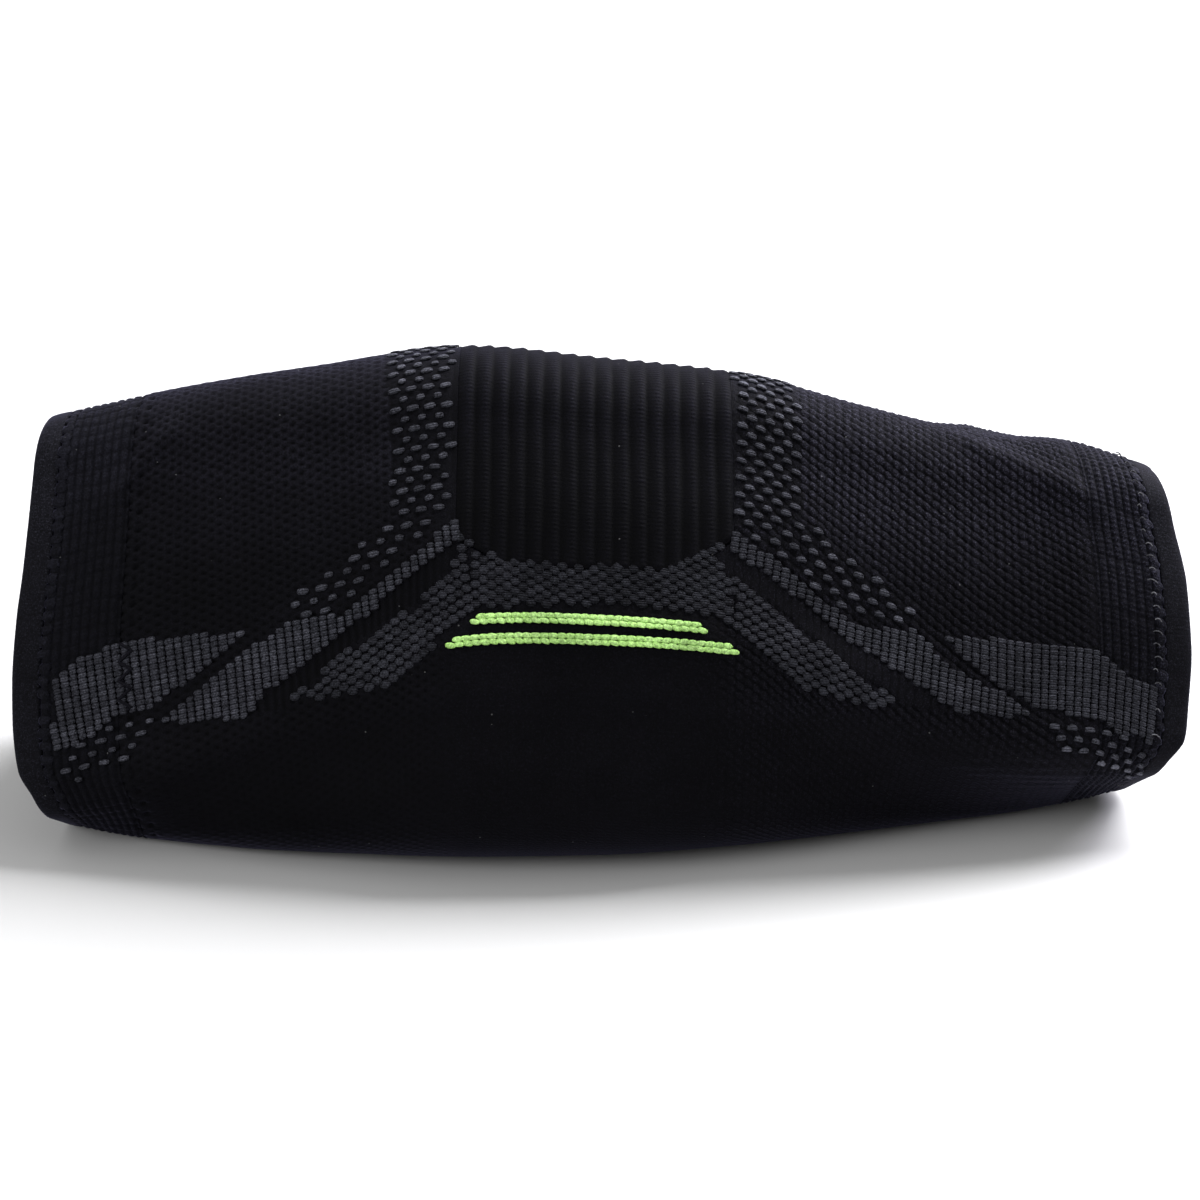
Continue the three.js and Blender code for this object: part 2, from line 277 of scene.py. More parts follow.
def leaned(along, around):
    """The columns lean a little towards the knee on their way down from the ridge."""
    thigh = ease((PANEL_START - along) / 30) * ease((along - THIGH_JOIN) / 22)
    calf = ease((along - PANEL_END) / 35) * ease((CALF_JOIN - along) / 30)
    return along + (THIGH_LEAN * thigh - CALF_LEAN * calf) * np.clip(np.abs(around) - 30, -30, 70)


# Meshes

def new_piece(name, points, faces, material, relief, nodes=(), weave=None):
    """A piece of the object from points in mm and arrays of faces, smooth, riding on the root body."""
    mesh = bpy.data.meshes.new(name)
    points = np.asarray(points, float).reshape(-1, 3)
    mesh.vertices.add(len(points))
    mesh.vertices.foreach_set("co", (points * MM).astype(np.float32).ravel())
    sizes = np.concatenate([np.full(len(f), f.shape[1]) for f in faces])
    mesh.loops.add(int(sizes.sum()))
    mesh.loops.foreach_set("vertex_index", np.concatenate([f.ravel() for f in faces]).astype(np.int32))
    mesh.polygons.add(len(sizes))
    starts = np.concatenate([[0], np.cumsum(sizes)[:-1]])
    mesh.polygons.foreach_set("loop_start", starts.astype(np.int32))
    mesh.polygons.foreach_set("use_smooth", np.ones(len(sizes), bool))
    # The relief attribute holds each point's tone, with painted shade and painted highlights in it
    values = mesh.attributes.new("relief", "FLOAT", "POINT").data
    values.foreach_set("value", relief.astype(np.float32).ravel())
    if weave is not None:
        values = mesh.attributes.new("weave", "FLOAT_VECTOR", "POINT").data
        values.foreach_set("vector", weave.astype(np.float32).ravel())
    mesh.update(calc_edges=True)
    mesh.validate()
    mesh.materials.append(material)
    piece = add_object(name, mesh)
    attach(piece, "root")
    if nodes:
        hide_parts(*nodes)
    return piece


def ring_faces(rows, columns, close_rows=True):
    """Quads of a grid whose columns close on themselves, and its rows too if close_rows."""
    i = np.arange(rows if close_rows else rows - 1)[:, None]
    j = np.arange(columns)[None, :]
    i2, j2 = (i + 1) % rows, (j + 1) % columns
    corners = [i * columns + j, i2 * columns + j, i2 * columns + j2, i * columns + j2]
    return np.stack([np.broadcast_to(c, (i.size, j.size)) for c in corners], -1).reshape(-1, 4)


def cloth_tube(node, points, material, relief, weave=None):
    """A closed tube of cloth for a node of the solids, from a grid of points."""
    faces = [ring_faces(*points.shape[:2])]
    return new_piece(node + "_cloth", points, faces, material, relief, [node], weave)


def inside(polygon, x, y):
    """Which of the places (x, y) are in the polygon."""
    hit = np.zeros(np.shape(x), bool)
    for (x1, y1), (x2, y2) in zip(polygon, polygon[1:] + polygon[:1]):
        if y1 != y2:
            hit ^= ((y1 > y) != (y2 > y)) & (x < (x2 - x1) * (y - y1) / (y2 - y1) + x1)
    return hit


# Materials

def nodes_of(name):
    material = bpy.data.materials.new(name)
    material.use_nodes = True
    tree = material.node_tree
    tree.nodes.clear()
    output = tree.nodes.new("ShaderNodeOutputMaterial")
    shader = tree.nodes.new("ShaderNodeBsdfPrincipled")
    tree.links.new(shader.outputs[0], output.inputs[0])
    return material, tree, shader


def feed(tree, socket, value):
    """Sets a socket to a value, or links it to another node's output."""
    if isinstance(value, bpy.types.NodeSocket):
        tree.links.new(value, socket)
    else:
        socket.default_value = value


def feed_all(tree, node, inputs):
    for key, value in inputs.items():
        feed(tree, node.inputs[key], value)


def add_node(tree, kind, settings=None, **inputs):
    """A node with its settings, and its inputs by name, or by number as i0, i1 and so on."""
    node = tree.nodes.new("ShaderNode" + kind)
    for key, value in (settings or {}).items():
        setattr(node, key, value)
    feed_all(tree, node, {int(key[1:]) if key[1:].isdigit() else key: inputs[key] for key in inputs})
    return node


def ramp(tree, value, stops):
    node = add_node(tree, "ValToRGB", i0=value)
    while len(node.color_ramp.elements) < len(stops):
        node.color_ramp.elements.new(0.5)
    for element, (place, colour) in zip(node.color_ramp.elements, stops):
        element.position = place
        element.color = (*colour, 1)
    return node.outputs[0]


def calc(tree, operation, a, b=0.0, c=0.0):
    node = tree.nodes.new("ShaderNodeMath")
    node.operation = operation
    for socket, value in zip(node.inputs, (a, b, c)):
        feed(tree, socket, value)
    return node.outputs[0]


def map_range(tree, value, source, target):
    """A value carried from one range to another."""
    (low, high), (first, last) = source, target
    return add_node(tree, "MapRange", i0=value, i1=low, i2=high, i3=first, i4=last).outputs[0]


def attribute(tree, name, output):
    return add_node(tree, "Attribute", {"attribute_name": name}).outputs[output]


def split(tree, vector):
    return add_node(tree, "SeparateXYZ", i0=vector).outputs


def knit_pattern(tree):
    """What knit_face gives, from the weave attribute, which holds the column number, the pitch number and the
    slant. Also how far the knit is a net."""
    place, phase, slant = split(tree, attribute(tree, "weave", "Vector"))
    odd = calc(tree, "FLOORED_MODULO", calc(tree, "FLOOR", place), 2)
    f = calc(tree, "SUBTRACT", calc(tree, "FRACT", place), 0.5)
    shifted = calc(tree, "MULTIPLY_ADD", odd, 0.5, phase)
    shifted = calc(tree, "SUBTRACT", shifted, calc(tree, "MULTIPLY", slant, f))
    q = calc(tree, "SUBTRACT", calc(tree, "FRACT", shifted), 0.5)

    def off_middle(half):
        parts = [calc(tree, "DIVIDE", value, size) for value, size in zip((f, q), half)]
        return calc(tree, "ADD", *(calc(tree, "MULTIPLY", part, part) for part in parts))

    lump = calc(tree, "SQRT", calc(tree, "MAXIMUM", calc(tree, "SUBTRACT", 1, off_middle(LUMP_HALF)), 0))
    hole = calc(tree, "EXPONENT", calc(tree, "MULTIPLY", off_middle(PIT_HALF), -1))
    net = map_range(tree, slant, NET_SLANTS[::-1], (0.0, 1.0))
    change = calc(tree, "SUBTRACT", calc(tree, "SUBTRACT", 1, hole), lump)
    return calc(tree, "MULTIPLY_ADD", net, change, lump), net


NOISE_SPAN, FIBRE_SPAN, GLINT_SPAN = (0.3, 0.7), (0.33, 0.68), (0.55, 0.7)  # noise values that are used
PATCH_SCALE, GLINT_SCALE, SPECK_SCALE = 60.0, 3300.0, 700.0
SPECK_RADIUS, SPECK_LIGHT = 0.13, 0.06
WEAR, ROUGHNESS, SHEEN_ROUGHNESS = (0.7, 1.32), (0.72, 0.95), 0.35
BUMP_DEPTH = 0.0004
NAVY_SHEEN = (0.6, 0.58, 1.0)


def cloth(name, pit, face, crest, sheen, sheen_tint=NAVY_SHEEN, fibre_scale=2600, bump=0.4, strands=None,
          lumps=False, specular=0.05, specks=0.0, grain=(0.25, 2.3), glints=0.0):
    """Yarn with painted shade in the hollows and a painted highlight on the crests, and with fine fibres in
    its colour and its bump. Strands is the spacing of its strands in mm, lumps adds the knit's face, specks
    is the share of pale specks, grain is how dark and light its fibres are, and glints is how strong the
    painted glints on the lightest fibres are."""
    material, tree, shader = nodes_of(name)
    spot = add_node(tree, "TexCoord").outputs["Object"]
    fibres = add_node(tree, "TexNoise", Vector=spot, Scale=fibre_scale, Detail=3.0, Roughness=0.65)
    patches = add_node(tree, "TexNoise", Vector=spot, Scale=PATCH_SCALE, Detail=5.0, Roughness=0.65)
    relief = attribute(tree, "relief", "Fac")
    height = calc(tree, "MULTIPLY", fibres.outputs[0], 0.6)
    if lumps:
        face_height, net = knit_pattern(tree)
        relief = calc(tree, "MULTIPLY", calc(tree, "MULTIPLY_ADD", face_height, 0.8, 0.2), relief)
        height = calc(tree, "MULTIPLY_ADD", face_height, 0.8, height)
    if strands:
        across = split(tree, attribute(tree, "weave", "Vector"))[1]
        even = calc(tree, "MULTIPLY", across, 2 * np.pi / strands)
        wave = calc(tree, "SINE", calc(tree, "MULTIPLY_ADD", patches.outputs[0], 9, even))
        height = calc(tree, "MULTIPLY_ADD", wave, 0.35, height)
        relief = calc(tree, "MULTIPLY_ADD", wave, 0.1, relief)
    # The ramp paints shade in the hollows and a highlight on the crests
    colour = ramp(tree, relief, [(0.0, pit), (0.55, face), (1.0, crest)])
    light = map_range(tree, fibres.outputs[0], FIBRE_SPAN, grain)
    both = calc(tree, "MULTIPLY", light, map_range(tree, patches.outputs[0], NOISE_SPAN, WEAR))
    # Painted glints: the lightest fibres are painted brighter, in place of their sparkle
    if glints:
        points = add_node(tree, "TexNoise", Vector=spot, Scale=GLINT_SCALE, Detail=1.0)
        glint = map_range(tree, points.outputs[0], GLINT_SPAN, (0.0, glints))
        shown = calc(tree, "SUBTRACT", 1, net) if lumps else 1
        both = calc(tree, "MULTIPLY_ADD", glint, shown, both)
    shade = add_node(tree, "VectorMath", {"operation": "SCALE"}, i0=colour, Scale=both).outputs[0]
    if specks:
        cells = add_node(tree, "TexVoronoi", Vector=spot, Scale=SPECK_SCALE)
        chance = split(tree, cells.outputs["Color"])[0]
        chosen = calc(tree, "GREATER_THAN", chance, 1 - specks)
        near = calc(tree, "LESS_THAN", cells.outputs["Distance"], SPECK_RADIUS)
        lit = calc(tree, "MULTIPLY", calc(tree, "MULTIPLY", chosen, near), SPECK_LIGHT)
        shade = add_node(tree, "VectorMath", {"operation": "ADD"}, i0=shade, i1=lit).outputs[0]
    bumps = add_node(tree, "Bump", Strength=bump, Distance=BUMP_DEPTH, Height=height)
    feed_all(tree, shader, {
        "Base Color": shade,
        "Roughness": map_range(tree, fibres.outputs[0], NOISE_SPAN, ROUGHNESS),
        "Normal": bumps.outputs[0],
        "Specular IOR Level": specular,
        "Sheen Weight": sheen,
        "Sheen Roughness": SHEEN_ROUGHNESS,
        "Sheen Tint": (*sheen_tint, 1),
    })
    return material


# Yarns: the colours in the pits, on the face and on the crests, and the sheen's weight and tint. The dark
# pits are painted shade and the light crests a painted highlight.
MESH = cloth("mesh_knit", (0.0004, 0.0004, 0.0006), (0.0029, 0.0028, 0.0042), (0.0078, 0.0076, 0.0112), 0.075,
             lumps=True, specks=0.018, glints=5.0)
RIB = cloth("rib_knit", (0.0004, 0.0004, 0.0006), (0.0027, 0.0026, 0.0042), (0.0062, 0.006, 0.009), 0.04,
            specks=0.004)
CUFF = cloth("cuff_knit", (0.0006, 0.0006, 0.001), (0.0032, 0.0032, 0.0048), (0.0068, 0.0068, 0.01), 0.06,
             specks=0.02, glints=1.2)
CALF_CUFF = cloth("calf_cuff_knit", (0.0005, 0.0005, 0.0008), (0.0036, 0.0036, 0.0054),
                  (0.0106, 0.0103, 0.0155), 0.09, specks=0.02, glints=6.0)
HEM = cloth("hem_jersey", (0.0014, 0.0014, 0.002), (0.0034, 0.0034, 0.0047), (0.006, 0.006, 0.008), 0.07,
            specks=0.006, glints=4.0)
GREY = cloth("grey_yarn", (0.0025, 0.0026, 0.0034), (0.0188, 0.0194, 0.0242), (0.068, 0.069, 0.085), 0.06,
             (0.8, 0.8, 1.0), bump=0.6, strands=0.5, grain=(0.2, 2.3))
LIME = cloth("lime_yarn", (0.02, 0.06, 0.005), (0.235, 0.43, 0.1), (0.36, 0.57, 0.2), 0.03, (0.8, 1.0, 0.6),
             fibre_scale=2200, grain=(0.5, 1.55))
THREAD = cloth("seam_thread", (0.0003, 0.0003, 0.0004), (0.0012, 0.0012, 0.0017), (0.0034, 0.0034, 0.005),
               0.03, fibre_scale=3000)
PALE_THREAD = cloth("pale_thread", (0.006, 0.006, 0.007), (0.04, 0.04, 0.045), (0.11, 0.11, 0.12), 0.05,
                    (0.9, 0.9, 1.0), fibre_scale=3000)


# Zones of the pattern, as outlines of (along, distance from the ridge), the same on both sides

SPARSE_ZONES = [
    [(-49, -1), (-34, -1), (-33.6, 29.2), (-33.4, 43.7), (-39.8, 43.7), (-46, 42.2), (-47, 28.2),
     (-48.6, 8.2)],
    [(28.2, -1), (42.2, -1), (42.4, 26.2), (42.6, 34.2), (36.9, 40.2), (28.2, 40.7)],
    [(-34, 44.7), (-40.5, 49), (-50.5, 56.2), (-57.5, 60.5), (-64.1, 61), (-74.1, 59.7), (-66.1, 55.2),
     (-58.5, 51.2), (-51.5, 46.7), (-47.5, 43.7)],
    [(29, 41.7), (37.3, 41.2), (43.5, 35.7), (49.1, 39.7), (56.5, 43), (63, 47.4), (70, 51.7), (65, 53),
     (57, 54.7), (51, 53.7), (43.2, 49.2), (35.3, 45.2)],
    [(-120.6, 80.5), (-113, 78.2), (-107.1, 77.2), (-99.1, 75.7), (-99.1, 82.2), (-106.1, 86.7),
     (-120.6, 87.2)],
    [(95, 67), (109, 67.2), (124, 71.2), (124, 79), (111, 76.5), (98, 73.2)],
]
DENSE_ZONES = [
    [(-22.5, 54.4), (13.6, 52.2), (22.4, 46.5), (25.4, 44.6), (25.4, 46.6), (23.4, 47.6), (26, 51.8),
     (26, 62.6), (22, 60.7), (-0.5, 61.4), (-29.5, 65.1), (-29.5, 50.7)],
    [(-29.4, 50.7), (-32.4, 48.7), (-33, 55.7), (-40.5, 63.1), (-48, 66.3), (-57.5, 71.2), (-62.6, 75.5),
     (-68.6, 78.5), (-56.5, 80.2), (-47.5, 80.3), (-42.5, 77.3), (-38, 73.5), (-33.5, 68.6),
     (-29.4, 65.1)],
    [(26.2, 52), (30, 53.8), (34, 55.6), (39, 58.5), (43.5, 61.5), (48, 63.5), (52, 66), (57, 68),
     (62, 70), (65, 71), (59.5, 72), (55, 73.2), (51, 73.7), (47.5, 73.4), (43.5, 73.2), (40, 71.4),
     (36, 68.9), (32.5, 66.9), (28.5, 64.9), (26.2, 62.8)],
]
CHAIN_ZONES = [
    [(-31.8, 44.6), (-31.8, 49), (-35, 51.6), (-40.5, 55.2), (-45.5, 59), (-51, 63), (-57, 66.2),
     (-57, 62.3), (-54, 60.6), (-48.5, 57.2), (-42, 52.7), (-35.5, 47.4)],
    [(26.9, 41.9), (27.2, 46.1), (30.5, 48.1), (36, 51.4), (42, 54.2), (47.5, 57.7), (54.3, 61),
     (54.3, 56.7), (49.5, 54.1), (43.5, 51.1), (38, 47.4), (32, 44.4)],
    [(-56, 62.2), (-69.6, 61.9), (-77.6, 66.3), (-85.6, 71.2), (-92.1, 75.7), (-96.6, 78.2), (-88.6, 80),
     (-77.6, 80.4), (-73.1, 75.6), (-65.6, 72), (-60, 68.4), (-56, 65.8)],
    [(53.7, 56.6), (67.5, 53.9), (72.5, 59.1), (80.5, 61.6), (87, 63.4), (92.5, 67.2), (75.5, 69.4),
     (67.5, 66.2), (61, 63.2), (53.7, 60.8)],
    [(-77.1, 62), (-85.6, 61.4), (-102.1, 59.5), (-107.1, 59), (-111.6, 60.2), (-117.1, 61.9),
     (-120.7, 64.5), (-120.7, 80.2), (-118.1, 80), (-109.6, 77.2), (-105.6, 74.6), (-98.6, 74.8),
     (-93.6, 72), (-89.1, 69.4), (-84.1, 66.4)],
    [(73, 53.8), (80.5, 52.1), (92, 50.9), (101, 51.8), (107.5, 51.2), (113, 53.3), (116, 56),
     (122, 55.1), (122, 68.9), (119.5, 67.8), (113, 68.5), (108, 66.2), (95.5, 65.7), (90, 63.3),
     (83.5, 61), (77, 56.8)],
]
# Dark ribbed bands, between the chain bands and the close dots and beside the kneecap panel
PLAIN_ZONES = [
    [(-34.2, -1), (-32.6, -1), (-32.6, 48), (-34.2, 44)],
    [(27.3, -1), (28.4, -1), (28.4, 41), (27.3, 41)],
    [(-32, 49.2), (-40.5, 55.4), (-51, 63.2), (-57, 66.4), (-65.6, 72.2), (-73, 75.8), (-78, 80.6),
     (-68.8, 80.6), (-62.6, 75.3), (-57.5, 71), (-48, 66.1), (-40.5, 62.9), (-33, 55.5), (-32.2, 49.4)],
    [(22.4, 47), (27.3, 43.4), (27.4, 46.3), (36, 51.6), (42, 54.4), (47.5, 57.9), (54.3, 61.2),
     (61, 63.4), (67.5, 66.4), (75.5, 69.6), (65, 70.8), (57, 67.8), (52, 65.8), (48, 63.3), (43.5, 61.3),
     (39, 58.3), (34, 55.4), (30, 53.6), (26, 51.6), (23.5, 48)],
]


def panel_reach(along):
    return np.interp(along, *PANEL_REACH.T)


LINES_PER_COLUMN, MOST_LINES = 3, 300
END_LINE, END_CLEAR = 0.012, 0.2


def zone_lines(start, end, first, column):
    """Places along the leg for one zone: its two ends, each with a line close by that keeps the shading flat,
    and a few lines on each column of lumps, counted from the place first."""
    lines = first + (np.arange(-MOST_LINES, MOST_LINES) + 0.5) * column / LINES_PER_COLUMN
    lines = lines[(lines > start + END_CLEAR) & (lines < end - END_CLEAR)]
    return np.concatenate([[start, start + END_LINE], lines, [end - END_LINE, end]])


# Rows down each side: close ones over the top and the side, and a few under it
FIXED_ROWS = np.arange(0, 109.5, LUMP_PITCH / 4)
BACK_ROWS = 16


def rounds(along):
    """Places round the leg at each place along it: down the near side, then up the far side."""
    half = half_round(along)[:, None]
    fixed = np.broadcast_to(FIXED_ROWS, (len(along), len(FIXED_ROWS)))
    rest = FIXED_ROWS[-1] + (half - FIXED_ROWS[-1]) * np.arange(1, BACK_ROWS + 1) / BACK_ROWS
    down = np.concatenate([fixed, rest], 1)
    return np.concatenate([-down, down[:, -2:0:-1]], 1)


def knit_face(place, phase, slant):
    """The knit's face, from 0 in the pits to 1: with little slant a net with a pit in each cell, with much
    slant rounded lumps. Every second column is half a cell off."""
    number = np.floor(place)
    f = place - number - 0.5
    q = (phase + 0.5 * (number % 2) - slant * f) % 1 - 0.5
    lump = np.sqrt(np.clip(1 - (f / LUMP_HALF[0]) ** 2 - (q / LUMP_HALF[1]) ** 2, 0, 1))
    hole = np.exp(-((f / PIT_HALF[0]) ** 2) - (q / PIT_HALF[1]) ** 2)
    net = np.clip((NET_SLANTS[1] - slant) / (NET_SLANTS[1] - NET_SLANTS[0]), 0, 1)
    return net * (1 - hole) + (1 - net) * lump


def painted_side_shade(along, around):
    """Painted shade: the yarn is darker down the sides, and sooner near the ends."""
    start = 24 - 9 * ease((np.abs(along) - 60) / 45)
    return 1 - 0.62 * ease((np.abs(around) - start) / 32)


def join_pits(along, around):
    """The pits of the zigzag seam, from 0 to 1."""
    pits = 0
    for number, shift in enumerate((JOIN_SWING, -JOIN_SWING)):
        across = (along - JOIN_SEAM - shift) / JOIN_PIT
        turn = around / JOIN_PITCH + 0.5 * number + 0.05 * wander(along, around, 9, 9)
        down = (turn % 1 - 0.5) * JOIN_PITCH / JOIN_PIT
        pits = pits + np.exp(-(across**2) - down**2)
    return pits


def in_zones(zones, along, distance):
    return np.any([inside(zone, along, distance) for zone in zones], 0)


# Depths of the knit's wall, of its edge and of the recess for the kneecap panel, and the recess's slope
INNER_DEPTH, EDGE_DEPTH, RECESS_DEPTH, RECESS_LIP = 2.2, 0.9, 2.0, 0.9
CLEAR = 0.004  # half the gap between two pieces of knit


def knit_zone(node, start, end, first, column):
    """One zone of the knit: a closed wall with a lumpy face and a plain inside."""
    start, end = start + CLEAR, end - CLEAR
    lines = zone_lines(start, end, first, column)
    inner_lines = np.linspace(end - 0.1, start + 0.1, max(6, int((end - start) / 7)))
    along = np.concatenate([lines, [end - 0.02], inner_lines, [start + 0.02]])
    inner = np.full(len(inner_lines), -INNER_DEPTH)
    layer = np.concatenate([np.zeros(len(lines)), [-EDGE_DEPTH], inner, [-EDGE_DEPTH]])
    around = rounds(along)
    along = np.broadcast_to(along[:, None], around.shape)
    distance = np.abs(around)
    outer = (layer == 0)[:, None]
    place = (along - first) / column + 0.09 * wander(along, around, 5, 1)
    phase = distance / LUMP_PITCH + 0.1 * wander(along, around, 5, 2)
    slant = np.interp(along, *SLANT.T)
    moved = leaned(along, around)
    dotted = in_zones(SPARSE_ZONES + DENSE_ZONES + CHAIN_ZONES, moved, distance)
    plain = in_zones(PLAIN_ZONES, moved, distance) & ~dotted
    ribbed = 0.5 - 0.5 * (np.floor(place) % 2) + slant * (place % 1 - 0.5)
    phase = np.where(plain, ribbed, phase)
    face = knit_face(place, phase, slant)
    low = ease((below_crease(moved, around) + 3) / 9)
    calm = np.where(dotted, 0.5, np.where(plain, 0.8, 1)) * (1 - 0.7 * low)
    calm = calm * ease((FIXED_ROWS[-1] - distance) / 6) * (0.35 + 0.65 * ease((CALF_JOIN - along) / 5))
    # Painted shade: darker below the crease, over the middle of the knee's near side and over the thigh side,
    # with the painted side shade and painted shade in the seam's pits. The calf side is a little darker.
    middle = np.exp(-((moved / 42) ** 2)) * ease((distance - 40) / 25)
    dark = np.maximum(low * ease((100 - moved) / 25), middle)
    thigh = ease((-20 - along) / 40)
    pits = join_pits(along, around)
    relief = np.where(dotted, 0.35, np.where(plain, 0.26, (1 - 0.32 * thigh) * painted_side_shade(moved, around)))
    relief = relief * (1 - 0.53 * dark) * (1 - JOIN_PAINTED_SHADE * pits) * (1 - 0.06 * ease((along - 30) / 30))
    uneven = 1 + 0.25 * wander(along, around, 3, 3)
    height = np.where(outer, LUMP_RISE * (face - 0.6) * calm * uneven - JOIN_DEPTH * pits, layer[:, None])
    if node == "knee_knit":
        under = ease((panel_reach(along) + RECESS_LIP - distance) / RECESS_LIP)
        under = under * ease(np.minimum(along - PANEL_START, PANEL_END - along) / 0.5)
        sunk = height * (1 - under) - RECESS_DEPTH * under
        height = np.where(layer[:, None] > -INNER_DEPTH, sunk, height)
    points = surface(moved, around, height)
    return cloth_tube(node, points, MESH, relief, np.stack([place, phase, slant], -1))


thigh_knit = knit_zone("thigh_knit", THIGH_JOIN, PANEL_START, PANEL_START, LEG_COLUMN)
knee_knit = knit_zone("knee_knit", PANEL_START, PANEL_END, PANEL_START, KNEE_COLUMN)
calf_knit = knit_zone("calf_knit", PANEL_END, CALF_JOIN, PANEL_END, LEG_COLUMN)


# How far the panel starts off the knit beside it, and the share of its length that it keeps, to clear the end
PANEL_CLEAR, PANEL_SHRINK = 0.02, 0.9994


def rib_panel():
    """The kneecap panel: soft ribs round the leg, each with a ladder of purl bumps along its calf edge."""
    steps, rows, under_rows = 10, 431, 41
    along = PANEL_START + PANEL_CLEAR + np.arange(RIB_COUNT * steps + 1) * RIB_PITCH / steps * PANEL_SHRINK
    reach = panel_reach(along)[:, None] + 0.5
    around = reach * np.linspace(-1, 1, rows)
    wide_along = np.broadcast_to(along[:, None], around.shape)
    place = ((along - PANEL_START) / RIB_PITCH)[:, None] + 0.02 * np.sin(around / 6 + along[:, None])
    f = place % 1
    crest = np.sin(np.pi * f**1.5) ** 0.8
    edge = np.exp(-(((f - 0.72) / 0.15) ** 2))
    offset = rng.uniform(0, 1, RIB_COUNT + 2)[np.floor(place).astype(int) + 1]
    turn = around / PURL_PITCH + offset + 0.16 * wander(wide_along, around, 7, 6)
    purl = 0.5 + 0.5 * np.cos(2 * np.pi * turn)
    purl = purl * (0.7 + 0.3 * wander(wide_along, around, 4, 7))
    end = ease((reach - np.abs(around)) / 1.3)
    side = ease(np.abs(around) / 16)
    height = -0.1 + (0.26 + 0.34 * side) * crest + 0.15 * edge * purl + 0.05 * purl
    height = height * end + 0.05 * (1 - end)
    # Painted shade and highlight: the ribs are lighter on their crests and purl bumps, darker at the panel's
    # edge and darker away from the ridge
    relief = np.clip(0.05 + 0.36 * crest**1.5 + 0.5 * edge * purl + 0.07 * purl, 0, 1) * (0.5 + 0.5 * end)
    relief = 0.98 * relief * (1 - 0.66 * ease((np.abs(around) - 8) / 36))
    under = (reach - 0.15) * np.linspace(1, -1, under_rows)
    lip = np.abs(under) > reach - 1.2
    around = np.concatenate([around, under], 1)
    wide = np.broadcast_to(along[:, None], around.shape)
    height = np.concatenate([height, np.where(lip, -0.6, -1.85)], 1)
    relief = np.concatenate([relief, np.full(under.shape, 0.2)], 1)
    points = surface(wide, around, height)
    count = around.shape[1]
    sides = ring_faces(len(along), count, close_rows=False)
    first = np.arange(count)[None, :]
    last = first[:, ::-1] + (len(along) - 1) * count
    return new_piece("kneecap_rib_panel_cloth", points, [sides, first, last], RIB, relief,
                     ["kneecap_rib_panel"])


panel = rib_panel()


def whole_rounds(along, count):
    """Places round the leg by equal shares of the way, for a grid of count columns."""
    t = np.arange(count) / count * 2
    half = half_round(along)[:, None]
    return np.where(t <= 1, -t, 2 - t) * half


CUFF_EDGE = 1.2  # depth of a cuff's edge


def cuff(node, seam, join, columns, cross_pitch, depth, beads, material):
    """A cuff of narrow beaded columns crossed by fine lines, with a valley at the hem's seam and no edge
    at the join."""
    steps, count = 4, 800
    start, end = min(seam, join), max(seam, join)
    lines = np.linspace(start, end, int(columns * steps) + 1)
    inner = np.linspace(end, start, 6)
    along = np.concatenate([lines, [end], inner, [start]])
    walls = np.full(len(inner), -KNIT_WALL)
    layer = np.concatenate([np.zeros(len(lines)), [-CUFF_EDGE], walls, [-CUFF_EDGE]])
    around = whole_rounds(along, count)
    along = np.broadcast_to(along[:, None], around.shape)
    outer = (layer == 0)[:, None]
    f = np.abs(along - seam) / (end - start) * columns
    column = np.abs(np.sin(np.pi * f)) ** 0.45
    cross = ((around + 0.5 * wander(along, around, 14, 4)) / cross_pitch % 1 - 0.5) * cross_pitch
    crossed = 1 - 0.55 * np.exp(-((cross / 0.42) ** 2))
    bead = 1 - beads + beads * np.cos(2 * np.pi * (around / 1.3 + 0.12 * wander(along, around, 4, 8)))
    rise = column * crossed * bead * (1 + 0.14 * wander(along, around, 3, 5))
    pits = join_pits(along, around)
    height = np.where(outer, depth * (rise - 0.75) - JOIN_DEPTH * pits, layer[:, None])
    points = surface(along, around, height)
    # Painted shade and highlight: darker in the valleys and lighter on the beads, with the painted side shade
    # and painted shade in the seam's pits; darker towards the join
    relief = np.clip(0.72 + 1.2 * depth * (rise - 0.85), 0, 1) * painted_side_shade(along, around)
    relief = np.where(outer, relief * (1 - 0.16 * ease(2 * f / columns - 1)), 0.4) * (1 - JOIN_PAINTED_SHADE * pits)
    return cloth_tube(node, points, material, relief)


thigh_cuff = cuff("thigh_cuff", THIGH_SEAM + SEAM_GAP, THIGH_JOIN - CLEAR, columns=8.5, cross_pitch=2.95,
                  depth=0.46, beads=0.12, material=CUFF)
calf_cuff = cuff("calf_cuff", CALF_SEAM - SEAM_GAP, CALF_JOIN + CLEAR, columns=7.5, cross_pitch=11.8,
                 depth=0.6, beads=0.22, material=CALF_CUFF)


